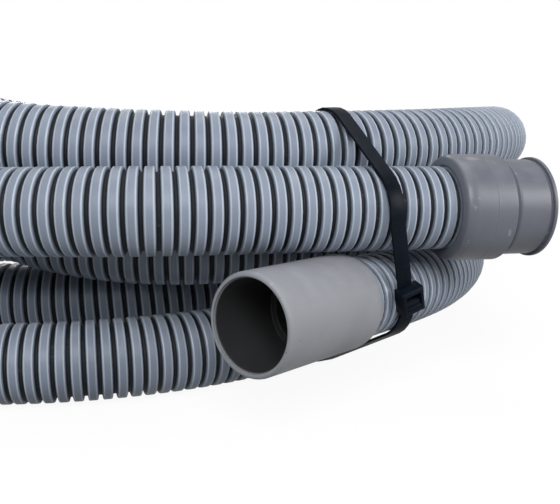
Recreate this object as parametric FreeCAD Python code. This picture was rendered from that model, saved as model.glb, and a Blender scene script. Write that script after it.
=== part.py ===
"""A coiled ribbed waste hose with a plain cuff, a sealed socket and two cable ties, in millimetres."""

import FreeCAD
import Part

import math
import os

V = FreeCAD.Vector
UP = V(0, 0, 1)

# The hose wall
HOSE_R = 20.0
ROOT_R = 17.5
BORE_R = 16.0
RIB_PITCH = 6.8
RIB_CREST = 0.60
RIB_FLANK = 0.12
# The plain stretch holds as much plastic per metre as the ribs do
PLAIN_BORE_R = 17.1

# The lie of the coil, seen from above, with the front towards -Y and the turns running to the right
COIL_CENTRE = V(20.8, 5.0, 0)
# One row for each turn, lowest first: radius and height of the hose axis at the right, back, left, front
TURNS = (
    ((197.0, 46.0), (204.5, 27.2), (268.0, 19.7), (170.5, 21.5)),
    ((140.0, 22.6), (136.5, 20.9), (203.5, 41.0), (125.0, 43.0)),
    ((136.5, 67.0), (165.0, 51.5), (148.0, 118.0), (149.5, 76.0)),
    ((184.0, 89.0), (181.0, 97.5), (207.5, 142.5), (171.0, 125.5)),
    ((226.0, 119.5), (222.0, 82.0), (219.0, 89.5), (208.0, 101.5)),
)
# Where the hose goes into the cuff and the socket, from the coil's centre, its heading and its slope
CUFF_BACK = V(115.0, -184.8, 55.0)
CUFF_HEADING = 50.3
CUFF_SLOPE = -2.5
SOCKET_BACK = V(162.0, -170.5, 97.7)
SOCKET_HEADING = 17.5
SOCKET_SLOPE = -1.9
STRAIGHT_RUN = 40.0
# Quarter turns at each end that carry their ribs
RIBBED_QUARTERS_CUFF = 1
RIBBED_QUARTERS_SOCKET = 3
# Steps along the hose axis for measuring it and for laying the ties round it
MEASURE_STEP = 4
TIE_POINT_STEP = 2

# The bore that takes a 40 mm pipe and the hole in the stop behind it, in the cuff and in the socket
PIPE_BORE_R = 20.1
PIPE_STOP_R = 17.0

# The plain cuff, from its mouth backwards
CUFF_LENGTH = 69.0
CUFF_R = 23.0
CUFF_STOP = 38.0
CUFF_INSERT = 22.0
SWIVEL_FLANGE_R = 21.3
SWIVEL_FLANGE = 2.0
SWIVEL_GAP = 0.3
SLEEVE_R = 15.9
SLEEVE_BORE_R = 14.4
SLEEVE_LENGTH = 20.0

# The socket, from the hose outwards
COLLAR_LENGTH = 27.0
COLLAR_R = 25.8
SOCKET_INSERT = 19.5
SOCKET_LENGTH = 49.0
SOCKET_R = 23.4
RIM_R = 24.6
NECK_R = 22.0
KEEPER_R = 23.2
SOCKET_STOP = 26.0
SEAL_FROM = 40.0
SEAL_WIDTH = 4.5
SEAL_GROOVE_R = 22.2
SEAL_LIP_R = 20.15

# The cable ties
TIE_WIDTH = 7.6
TIE_THICK = 1.4
TIE_GAP = 0.45
TIE_STEP = 12.0
HEAD_LENGTH = 13.0
HEAD_WIDTH = 12.0
HEAD_DEPTH = 8.0
# Places in the head, along the strap and outwards from the strap's inner line
HEAD_BACK = 0.8
TAIL_FROM = -3.6
WINDOW_TOP = 4.2
PAWL_FRONT = 3.0
PAWL_TIP = 7.2
PAWL_RISE = 1.7
PAWL_PIN_R = 0.7
PAWL_PIN_HALF = 5.2
# Name, heading of the hoses there, place of its upper and lower part along that, height of its head
TIES = (
    ("front_tie", 28.0, 26.0, 42.0, 58.0),
    ("rear_tie", 200.0, 0.0, 0.0, 60.0),
)
TIE_SLANT_TOP = 100.0
TIE_SLANT_FOOT = 60.0


def heading(degrees, slope=0.0):
    """The unit vector at an angle from +X, seen from above, and at a slope from level."""
    level = V(math.cos(math.radians(degrees)), math.sin(math.radians(degrees)), 0)
    return level * math.cos(math.radians(slope)) + UP * math.sin(math.radians(slope))


def end_ways():
    """The hose's direction at the cuff and at the socket."""
    return heading(CUFF_HEADING, CUFF_SLOPE), heading(SOCKET_HEADING, SOCKET_SLOPE)


def arc_point(start, tangent, end, share):
    """A point part of the way along the arc that leaves start along tangent and reaches end."""
    chord = end - start
    length = chord.Length
    half = math.acos(max(-1.0, min(1.0, chord.dot(tangent) / length)))
    if half < 1e-5:
        return start + chord * share
    side = (chord / length - tangent * math.cos(half)).normalize()
    radius = length / (2 * math.sin(half))
    turned = 2 * half * share
    return start + tangent * (radius * math.sin(turned)) + side * (radius * (1 - math.cos(turned)))


def biarc(start, start_tangent, end, end_tangent):
    """Two arcs that join end to end, each as an edge."""
    gap = end - start
    both = start_tangent + end_tangent
    spread = 2 * (1 - start_tangent.dot(end_tangent))
    if spread < 1e-9:
        reach = gap.dot(gap) / (4 * gap.dot(end_tangent))
    else:
        along = gap.dot(both)
        reach = (math.sqrt(along * along + spread * gap.dot(gap)) - along) / spread
    meet = (start + end + (start_tangent - end_tangent) * reach) * 0.5
    first = Part.Arc(start, arc_point(start, start_tangent, meet, 0.5), meet)
    last = Part.Arc(meet, arc_point(end, end_tangent * -1, meet, 0.5), end)
    return [first.toShape(), last.toShape()]


def stations():
    """Points and tangents of the route at each quarter turn, with the two straight ends' first."""
    polar = [(math.atan2(CUFF_BACK.x, -CUFF_BACK.y), math.hypot(CUFF_BACK.x, CUFF_BACK.y), CUFF_BACK.z)]
    quarters = [quarter for turn in TURNS for quarter in turn]
    for number, (radius, height) in enumerate(quarters):
        polar.append(((number + 1) * math.pi / 2, radius, height))
    last_turn = 2 * math.pi * len(TURNS)
    socket_radius = math.hypot(SOCKET_BACK.x, SOCKET_BACK.y)
    polar.append((last_turn + math.atan2(SOCKET_BACK.x, -SOCKET_BACK.y), socket_radius, SOCKET_BACK.z))
    cuff_way, socket_way = end_ways()
    route = [(COIL_CENTRE + CUFF_BACK + cuff_way * STRAIGHT_RUN, cuff_way)]
    for before, here, after in zip(polar, polar[1:], polar[2:]):
        angle, radius, height = here
        outward = V(math.sin(angle), -math.cos(angle), 0)
        onward = V(math.cos(angle), math.sin(angle), 0)
        span = after[0] - before[0]
        widening, climb = (after[1] - before[1]) / span, (after[2] - before[2]) / span
        tangent = outward * widening + onward * radius + UP * climb
        route.append((COIL_CENTRE + outward * radius + UP * height, tangent.normalize()))
    route.append((COIL_CENTRE + SOCKET_BACK - socket_way * STRAIGHT_RUN, socket_way))
    return route


def route_edges():
    """The hose axis as three lists of edges: the cuff's end, the coil and the socket's end."""
    route = stations()
    quarters = []
    for (start, start_tangent), (end, end_tangent) in zip(route, route[1:]):
        quarters.append(biarc(start, start_tangent, end, end_tangent))
    cuff_end = route[0][0] - route[0][1] * (STRAIGHT_RUN + CUFF_INSERT)
    socket_end = route[-1][0] + route[-1][1] * (STRAIGHT_RUN + SOCKET_INSERT)
    first = [Part.makeLine(cuff_end, route[0][0])] + sum(quarters[:RIBBED_QUARTERS_CUFF], [])
    middle = sum(quarters[RIBBED_QUARTERS_CUFF:-RIBBED_QUARTERS_SOCKET], [])
    last = sum(quarters[-RIBBED_QUARTERS_SOCKET:], []) + [Part.makeLine(route[-1][0], socket_end)]
    return first, middle, last


def place_on(edges, distance):
    """The point and tangent at a distance along a chain of edges."""
    for edge in edges:
        if distance <= edge.Length or edge is edges[-1]:
            at = edge.getParameterByLength(max(0.0, min(distance, edge.Length)))
            return edge.valueAt(at), edge.tangentAt(at).normalize()
        distance -= edge.Length


def ring(point, tangent, radius):
    """A circle square to the route, whose X axis is as upright as it can be."""
    upright = (UP - tangent * UP.dot(tangent)).normalize()
    circle = Part.Circle(point, tangent, radius)
    circle.XAxis = upright
    return Part.Wire([circle.toShape()])


def tube(edges, radius):
    """An unbroken round rod along a chain of edges."""
    sweep = Part.BRepOffsetAPI.MakePipeShell(Part.Wire(edges))
    sweep.add(ring(*place_on(edges, 0.0), radius))
    sweep.build()
    sweep.makeSolid()
    return sweep.shape()


def ribbed(edges):
    """A hose stretch with its ribs and bore."""
    length = sum(edge.Length for edge in edges)
    count = round(length / RIB_PITCH)
    pitch = length / count
    land = (1 - RIB_CREST - 2 * RIB_FLANK) / 2
    rings = []
    for number in range(count):
        for share, radius in (
            (land / 2, ROOT_R),
            (land / 2 + RIB_FLANK, HOSE_R),
            (land / 2 + RIB_FLANK + RIB_CREST, HOSE_R),
            (land / 2 + 2 * RIB_FLANK + RIB_CREST, ROOT_R),
        ):
            rings.append(ring(*place_on(edges, (number + share + land / 2) * pitch), radius))
    rings.insert(0, ring(*place_on(edges, 0.0), ROOT_R))
    rings.append(ring(*place_on(edges, length), ROOT_R))
    outside = Part.makeLoft(rings, True, True)
    print(f"ribs {count}, pitch {pitch:.2f} mm over {length:.0f} mm")
    return outside.cut(tube(edges, BORE_R))


def measure(edges):
    """Prints the route's length, radii and least gap to itself, measured on points."""
    radii = [edge.Curve.Radius for edge in edges if hasattr(edge.Curve, "Radius")]
    total = sum(edge.Length for edge in edges)
    points = [place_on(edges, distance)[0] for distance in range(0, int(total), MEASURE_STEP)]
    apart = int(5 * HOSE_R / MEASURE_STEP)
    least = min(
        (points[i] - points[j]).Length for i in range(len(points)) for j in range(i + apart, len(points))
    )
    print(f"hose axis {total:.0f} mm, arc radii {min(radii):.0f} to {max(radii):.0f} mm")
    print("radii", [round(radius) for radius in radii])
    print(f"least gap of the hose to itself {least - 2 * HOSE_R:.2f} mm")
    print(f"lowest point of the axis {min(point.z for point in points):.2f} mm")


def turned(outline, origin, way):
    """A solid of revolution from an outline of edges in the plane of length and radius."""
    solid = Part.Face(Part.Wire(outline)).revolve(V(), V(1, 0, 0), 360)
    solid.Placement = FreeCAD.Placement(origin, FreeCAD.Rotation(V(1, 0, 0), way))
    return solid


def outline_of(points, arcs=()):
    """Edges round a closed outline of (length, radius) points. An arc is a side's number and middle point."""
    bent = dict(arcs)
    corners = [V(along, radius, 0) for along, radius in points]
    edges = []
    for number, (start, end) in enumerate(zip(corners, corners[1:] + corners[:1])):
        if number in bent:
            edges.append(Part.Arc(start, V(*bent[number], 0), end).toShape())
        else:
            edges.append(Part.makeLine(start, end))
    return edges


def end_cuff(mouth, way):
    """The light cuff: a pipe bore at the mouth, a stop, and a groove that turns on the hose's flange."""
    chamfer, shoulder, counterbore, counterbore_to = 1.0, 6.0, 0.5, 1.2
    groove_from = CUFF_LENGTH - CUFF_INSERT - SWIVEL_FLANGE - SWIVEL_GAP
    groove_to = CUFF_LENGTH - CUFF_INSERT + SWIVEL_GAP
    groove_r = SWIVEL_FLANGE_R + SWIVEL_GAP
    back_r = HOSE_R + SWIVEL_GAP
    tail_r = back_r + 1.0
    sunk = CUFF_LENGTH - shoulder
    points = (
        (0, PIPE_BORE_R + counterbore),
        (0, CUFF_R - chamfer),
        (chamfer, CUFF_R),
        (sunk, CUFF_R),
        (CUFF_LENGTH, tail_r),
        (CUFF_LENGTH, back_r),
        (groove_to, back_r),
        (groove_to, groove_r),
        (groove_from, groove_r),
        (groove_from, PIPE_STOP_R),
        (CUFF_STOP, PIPE_STOP_R),
        (CUFF_STOP, PIPE_BORE_R),
        (counterbore_to, PIPE_BORE_R),
        (counterbore_to, PIPE_BORE_R + counterbore),
    )
    rounding = (sunk + 0.62 * shoulder, CUFF_R - 0.28 * (CUFF_R - tail_r))
    return turned(outline_of(points, [(3, rounding)]), mouth, way)


def swivel_sleeve(hose_end, way):
    """The sleeve in the hose's bore, with the flange that holds the cuff."""
    points = (
        (-SWIVEL_FLANGE, SLEEVE_BORE_R),
        (-SWIVEL_FLANGE, SWIVEL_FLANGE_R),
        (0, SWIVEL_FLANGE_R),
        (0, SLEEVE_R),
        (SLEEVE_LENGTH, SLEEVE_R),
        (SLEEVE_LENGTH, SLEEVE_BORE_R),
    )
    return turned(outline_of(points), hose_end, way)


def socket_collar(back, way):
    """The collar on the hose, with the inner groove that holds the socket's keeper flange."""
    shoulder, back_r, chamfer, seat_r = 4.0, 21.2, 0.8, HOSE_R + 0.1
    lip_from = SOCKET_INSERT + 3.5
    points = (
        (0, seat_r),
        (0, back_r),
        (shoulder, COLLAR_R),
        (COLLAR_LENGTH - chamfer, COLLAR_R),
        (COLLAR_LENGTH, COLLAR_R - chamfer),
        (COLLAR_LENGTH, NECK_R + SWIVEL_GAP),
        (lip_from, NECK_R + SWIVEL_GAP),
        (lip_from, KEEPER_R + SWIVEL_GAP),
        (SOCKET_INSERT, KEEPER_R + SWIVEL_GAP),
        (SOCKET_INSERT, seat_r),
    )
    rounding = (0.25 * shoulder, back_r + 0.70 * (COLLAR_R - back_r))
    return turned(outline_of(points, [(1, rounding)]), back, way)


def socket_body(back, way):
    """The socket that a pipe goes into, with its keeper flange, neck, seal groove and rim bead."""
    keeper_from, keeper_to = SOCKET_INSERT + 0.4, SOCKET_INSERT + 3.1
    neck_to, cylinder_from, cylinder_to, bead_from = 28.6, 30.0, 45.8, 47.2
    groove_from, groove_to = SEAL_FROM, SEAL_FROM + SEAL_WIDTH
    points = (
        (keeper_from, PIPE_STOP_R),
        (keeper_from, KEEPER_R),
        (keeper_to, KEEPER_R),
        (keeper_to, NECK_R),
        (neck_to, NECK_R),
        (cylinder_from, SOCKET_R),
        (cylinder_to, SOCKET_R),
        (cylinder_to, SOCKET_R - 0.5),
        (bead_from, SOCKET_R - 0.5),
        (bead_from, RIM_R - 0.4),
        (bead_from + 0.4, RIM_R),
        (SOCKET_LENGTH - 0.6, RIM_R),
        (SOCKET_LENGTH, RIM_R - 0.6),
        (SOCKET_LENGTH, PIPE_BORE_R + 1.0),
        (SOCKET_LENGTH - 1.0, PIPE_BORE_R),
        (groove_to, PIPE_BORE_R),
        (groove_to, SEAL_GROOVE_R),
        (groove_from, SEAL_GROOVE_R),
        (groove_from, PIPE_BORE_R),
        (SOCKET_STOP, PIPE_BORE_R),
        (SOCKET_STOP, PIPE_STOP_R),
    )
    return turned(outline_of(points), back, way)


def socket_seal(back, way):
    """The rubber lip seal in the socket's groove."""
    slack, lip = 0.1, 1.2
    start, end = SEAL_FROM + slack, SEAL_FROM + SEAL_WIDTH - slack
    middle = (start + end) / 2
    points = (
        (start, SEAL_GROOVE_R - slack),
        (end, SEAL_GROOVE_R - slack),
        (end, PIPE_BORE_R + 0.5),
        (middle + lip / 2, PIPE_BORE_R + 0.4),
        (middle - 0.3, SEAL_LIP_R),
        (middle - lip / 2 - 0.6, SEAL_LIP_R),
        (start, PIPE_BORE_R + 0.3),
    )
    return turned(outline_of(points), back, way)


def convex_outline(points):
    """The corners of the least convex outline round points, anticlockwise."""
    ordered = sorted(set(points))
    halves = []
    for run in (ordered, ordered[::-1]):
        hull = []
        for point in run:
            while len(hull) > 1 and cross(hull[-2], hull[-1], point) <= 1e-9:
                hull.pop()
            hull.append(point)
        halves.append(hull[:-1])
    return halves[0] + halves[1]


def cross(a, b, c):
    """Twice the signed area of a flat triangle."""
    return (b[0] - a[0]) * (c[1] - a[1]) - (b[1] - a[1]) * (c[0] - a[0])


def tie_side(height, upper, lower):
    """How far along the hoses the tie lies at a height: it slants between its upper and lower part."""
    share = max(0.0, min(1.0, (TIE_SLANT_TOP - height) / (TIE_SLANT_TOP - TIE_SLANT_FOOT)))
    return upper + (lower - upper) * share * share * (3 - 2 * share)


def tie_line(points, way, upper, lower):
    """The tie's inner line round the hoses, as corners of outward distance and height."""
    out = V(way.y, -way.x, 0)
    rims = []
    steps = int(360 / TIE_STEP)
    reach = (HOSE_R + TIE_GAP) / math.cos(math.radians(TIE_STEP / 2))
    for here, onward in zip(points, points[1:]):
        middle = (here + onward) * 0.5 - COIL_CENTRE
        ahead = (onward - here).normalize()
        astray = abs(middle.dot(way) - tie_side(middle.z, upper, lower))
        if astray > (onward - here).Length / 2 + 0.2 or middle.dot(out) < 0:
            continue
        upright = (UP - ahead * UP.dot(ahead)).normalize()
        across = ahead.cross(upright)
        for number in range(steps):
            angle = math.radians((number + 0.5) * TIE_STEP)
            spoke = (upright * math.cos(angle) + across * math.sin(angle)) * reach
            for edge in (-TIE_WIDTH / 2, TIE_WIDTH / 2):
                rim = middle + spoke + ahead * ((edge - spoke.dot(way)) / ahead.dot(way))
                rims.append((round(rim.dot(out), 3), round(rim.z, 3)))
    return convex_outline(rims)


def strap_section(point, outward, along):
    """The strap's outline at a point of its inner line."""
    outward = (outward - along * outward.dot(along)).normalize()
    half = along.cross(outward).normalize() * (TIE_WIDTH / 2)
    far = point + outward * TIE_THICK
    return Part.makePolygon([point - half, point + half, far + half, far - half, point - half])


class Tie:
    """One cable tie: its strap, head and pawl, in the head's own directions."""

    def __init__(self, points, degrees, upper, lower, head_height):
        self.way = heading(degrees)
        self.out = V(self.way.y, -self.way.x, 0)
        self.sides = (upper, lower)
        corners = tie_line(points, self.way, upper, lower)
        middle = sum(across for across, _ in corners) / len(corners)
        pairs = list(zip(corners, corners[1:] + corners[:1]))
        number = next(n for n, (a, b) in enumerate(pairs) if a[0] > middle and a[1] <= head_height < b[1])
        self.corners = corners[number + 1:] + corners[:number + 1]
        below, above = self.at(self.corners[-1]), self.at(self.corners[0])
        self.up = (above - below).normalize()
        self.seat = below + (above - below) * ((head_height - below.z) / (above.z - below.z))
        self.wide = (self.way - self.up * self.way.dot(self.up)).normalize()
        self.front = self.wide.cross(self.up) * -1
        if self.front.dot(self.out) < 0:
            self.front = self.front * -1
        self.wide = self.up.cross(self.front)

    def at(self, corner):
        """A corner of the tie's line in space."""
        across, height = corner
        return COIL_CENTRE + self.out * across + self.way * tie_side(height, *self.sides) + UP * height

    def local(self, front, up, wide=0.0):
        """A point in the head's directions, from its seat."""
        return self.seat + self.front * front + self.up * up + self.wide * wide

    def box(self, front, up, wide):
        """A box between limits along the head's directions."""
        block = Part.makeBox(front[1] - front[0], up[1] - up[0], wide[1] - wide[0])
        block.translate(V(front[0], up[0], wide[0]))
        turn = FreeCAD.Rotation(self.front, self.up, self.front.cross(self.up), "XYZ")
        block.Placement = FreeCAD.Placement(self.seat, turn).multiply(block.Placement)
        return block

    def strap(self):
        """The strap from its tail in the head's window, round the hoses, to its root on the head."""
        bend = TIE_THICK + 0.8
        hub_up = TAIL_FROM + bend
        sections = [strap_section(self.local(HEAD_DEPTH, TAIL_FROM), self.up, self.front * -1)]
        for degrees in (270, 240, 210, 180):
            angle = math.radians(degrees)
            spoke = self.front * math.cos(angle) + self.up * math.sin(angle)
            along = self.front * math.sin(angle) - self.up * math.cos(angle)
            sections.append(strap_section(self.local(bend, hub_up) + spoke * bend, spoke * -1, along))
        sections.append(strap_section(self.local(0, HEAD_LENGTH / 2), self.front, self.up))
        count = len(self.corners)
        for number, corner in enumerate(self.corners):
            here = self.at(corner)
            if self.beside_head(here):
                continue
            before, after = self.corners[number - 1], self.corners[(number + 1) % count]
            normal = self.out * (after[1] - before[1]) - UP * (after[0] - before[0])
            along = (self.at(after) - self.at(before)).normalize()
            sections.append(strap_section(here, normal, along))
        sections.append(strap_section(self.local(0, -HEAD_LENGTH / 2), self.front, self.up))
        return Part.makeLoft(sections, True, True)

    def beside_head(self, point):
        """Whether a point of the tie's line is behind the head or within 1 mm of its ends."""
        away = point - self.seat
        return abs(away.dot(self.up)) < HEAD_LENGTH / 2 + 1 and away.dot(self.front) > -HEAD_DEPTH

    def head(self):
        """The head, with the window that the tail comes out of and the bearing holes of its pawl."""
        half, length, slack = HEAD_WIDTH / 2, HEAD_LENGTH / 2, 0.3
        slot, floor = TIE_WIDTH / 2 + slack, TAIL_FROM - slack
        block = self.box((HEAD_BACK, HEAD_DEPTH), (-length, length), (-half, half))
        front = [e for e in block.Edges if (e.CenterOfMass - self.seat).dot(self.front) > HEAD_DEPTH - 0.1]
        block = block.makeChamfer(0.8, front)
        block = block.cut(self.box((-1, HEAD_DEPTH + 1), (floor, WINDOW_TOP), (-slot, slot)))
        block = block.cut(self.box((-1, TIE_THICK + 1), (floor, length + 1), (-slot, slot)))
        return block.cut(self.pin(PAWL_PIN_R + 0.05, PAWL_PIN_HALF + 0.1))

    def pin(self, radius, half):
        """A rod along the pawl's hinge."""
        start = self.local(PAWL_FRONT, TAIL_FROM + TIE_THICK + PAWL_RISE, -half)
        return Part.makeCylinder(radius, 2 * half, start, self.wide)

    def pawl(self):
        """The pawl above the tail, with its hinge bar."""
        half = TIE_WIDTH / 2 - 0.3
        low = TAIL_FROM + TIE_THICK + 0.2
        wedge = [(PAWL_FRONT, low + 0.5), (PAWL_TIP, low), (PAWL_TIP, low + 1.6), (PAWL_FRONT, low + 3.2),
                 (PAWL_FRONT - 0.8, low + 2.0)]
        corners = [self.local(front, up, -half) for front, up in wedge]
        body = Part.Face(Part.makePolygon(corners + corners[:1])).extrude(self.wide * (2 * half))
        return body.fuse(self.pin(PAWL_PIN_R, PAWL_PIN_HALF)).removeSplitter()


def show(label, vector):
    """Prints a point or direction."""
    print(label, [round(value, 4) for value in vector])


def save(shapes):
    """Writes one STEP file for each node and prints its volume."""
    os.makedirs("parts", exist_ok=True)
    for name, shape in shapes.items():
        shape.exportStep(f"parts/{name}.step")
        print(f"{name}: {shape.Volume / 1000:.2f} cm3, solids {len(shape.Solids)}, valid {shape.isValid()}")


def main():
    """Builds every node, prints what the joints and mounts need, and saves the files."""
    first, middle, last = route_edges()
    edges = first + middle + last
    measure(edges)
    cuff_way, socket_way = end_ways()
    cuff_mouth = COIL_CENTRE + CUFF_BACK - cuff_way * CUFF_LENGTH
    hose_start = COIL_CENTRE + CUFF_BACK - cuff_way * CUFF_INSERT
    socket_back = COIL_CENTRE + SOCKET_BACK
    coil = tube(middle, HOSE_R).cut(tube(middle, PLAIN_BORE_R))
    reach = max(radius for turn in TURNS for radius, _ in turn)
    ground = Part.makeBox(8 * reach, 8 * reach, HOSE_R, V(-4 * reach, -4 * reach, -HOSE_R))
    shapes = {
        "hose_cuff_end": ribbed(first),
        "hose_coil": coil.cut(ground),
        "hose_socket_end": ribbed(last),
        "end_cuff": end_cuff(cuff_mouth, cuff_way),
        "cuff_swivel_sleeve": swivel_sleeve(hose_start, cuff_way),
        "socket_collar": socket_collar(socket_back, socket_way),
        "socket_body": socket_body(socket_back, socket_way),
        "socket_seal": socket_seal(socket_back, socket_way),
    }
    length = sum(edge.Length for edge in edges)
    points = [place_on(edges, distance)[0] for distance in range(0, int(length), TIE_POINT_STEP)]
    for name, *place in TIES:
        one = Tie(points, *place)
        shapes[f"{name}_strap"] = one.strap()
        shapes[f"{name}_head"] = one.head()
        shapes[f"{name}_pawl"] = one.pawl()
        pivot = one.local(PAWL_FRONT, TAIL_FROM + TIE_THICK + PAWL_RISE)
        show(f"{name}_pawl pivot", pivot)
        show(f"{name}_pawl axis", one.front.cross(one.up))
    lowest = min(points, key=lambda point: point.z)
    show("resting point", V(lowest.x, lowest.y, 0))
    show("cuff mouth", cuff_mouth)
    show("cuff way", cuff_way)
    show("socket back", socket_back)
    show("socket way", socket_way)
    save(shapes)


if __name__ == "__main__":
    main()
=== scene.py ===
"""Dresses the coiled waste hose kit: ribbed hose, plain cuff, swivel socket and two cable ties, in metres."""

import logging
import math
from dataclasses import dataclass, field
from enum import Enum

import bmesh
import bpy
import numpy as np
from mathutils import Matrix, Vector


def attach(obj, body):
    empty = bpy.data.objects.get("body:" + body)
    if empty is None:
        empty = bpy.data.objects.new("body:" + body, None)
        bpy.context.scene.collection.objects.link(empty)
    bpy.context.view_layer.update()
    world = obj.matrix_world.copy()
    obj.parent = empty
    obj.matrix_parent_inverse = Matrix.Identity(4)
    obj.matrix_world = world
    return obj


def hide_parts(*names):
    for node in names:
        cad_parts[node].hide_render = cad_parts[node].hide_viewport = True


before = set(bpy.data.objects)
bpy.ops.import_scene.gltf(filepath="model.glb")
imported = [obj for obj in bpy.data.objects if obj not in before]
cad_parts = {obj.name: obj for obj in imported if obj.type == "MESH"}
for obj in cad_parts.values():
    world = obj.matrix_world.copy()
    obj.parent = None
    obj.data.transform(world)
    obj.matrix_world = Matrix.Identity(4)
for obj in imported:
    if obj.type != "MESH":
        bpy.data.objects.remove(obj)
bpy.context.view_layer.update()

UP = Vector((0.0, 0.0, 1.0))
FULL_TURN = 2 * math.pi

Place = tuple[float, float, float]
Colour = tuple[float, float, float, float]

log = logging.getLogger("hose_kit")


class Slot(Enum):
    """The record's material slots."""

    HOSE = "hose"
    CUFF = "light_cuff"
    SOCKET = "dark_socket"
    SLEEVE = "sleeve"
    SEAL = "seal"
    TIE = "tie"


class Body(Enum):
    """The record's bodies."""

    HOSE = "hose"
    CUFF = "end_cuff"
    SOCKET = "socket"
    FRONT_PAWL = "front_tie_pawl"
    REAR_PAWL = "rear_tie_pawl"


def heading(degrees: float, slope: float) -> Vector:
    """The unit vector at an angle from +X, seen from above, and at a slope from level, both in degrees."""
    turn, rise = math.radians(degrees), math.radians(slope)
    return Vector((math.cos(turn) * math.cos(rise), math.sin(turn) * math.cos(rise), math.sin(rise)))


def linked(name: str, data: bpy.types.ID) -> bpy.types.Object:
    """A new object in the scene.

    Args:
        name: The object's name.
        data: The mesh, curve, camera or light that it shows.

    Returns:
        The object.
    """
    holder = bpy.data.objects.new(name, data)
    bpy.context.scene.collection.objects.link(holder)
    return holder


@dataclass(frozen=True)
class Knot:
    """One place on the coil in polar form, and how fast radius and height change with the angle."""

    angle: float
    radius: float
    height: float
    widening: float
    climb: float


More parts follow.
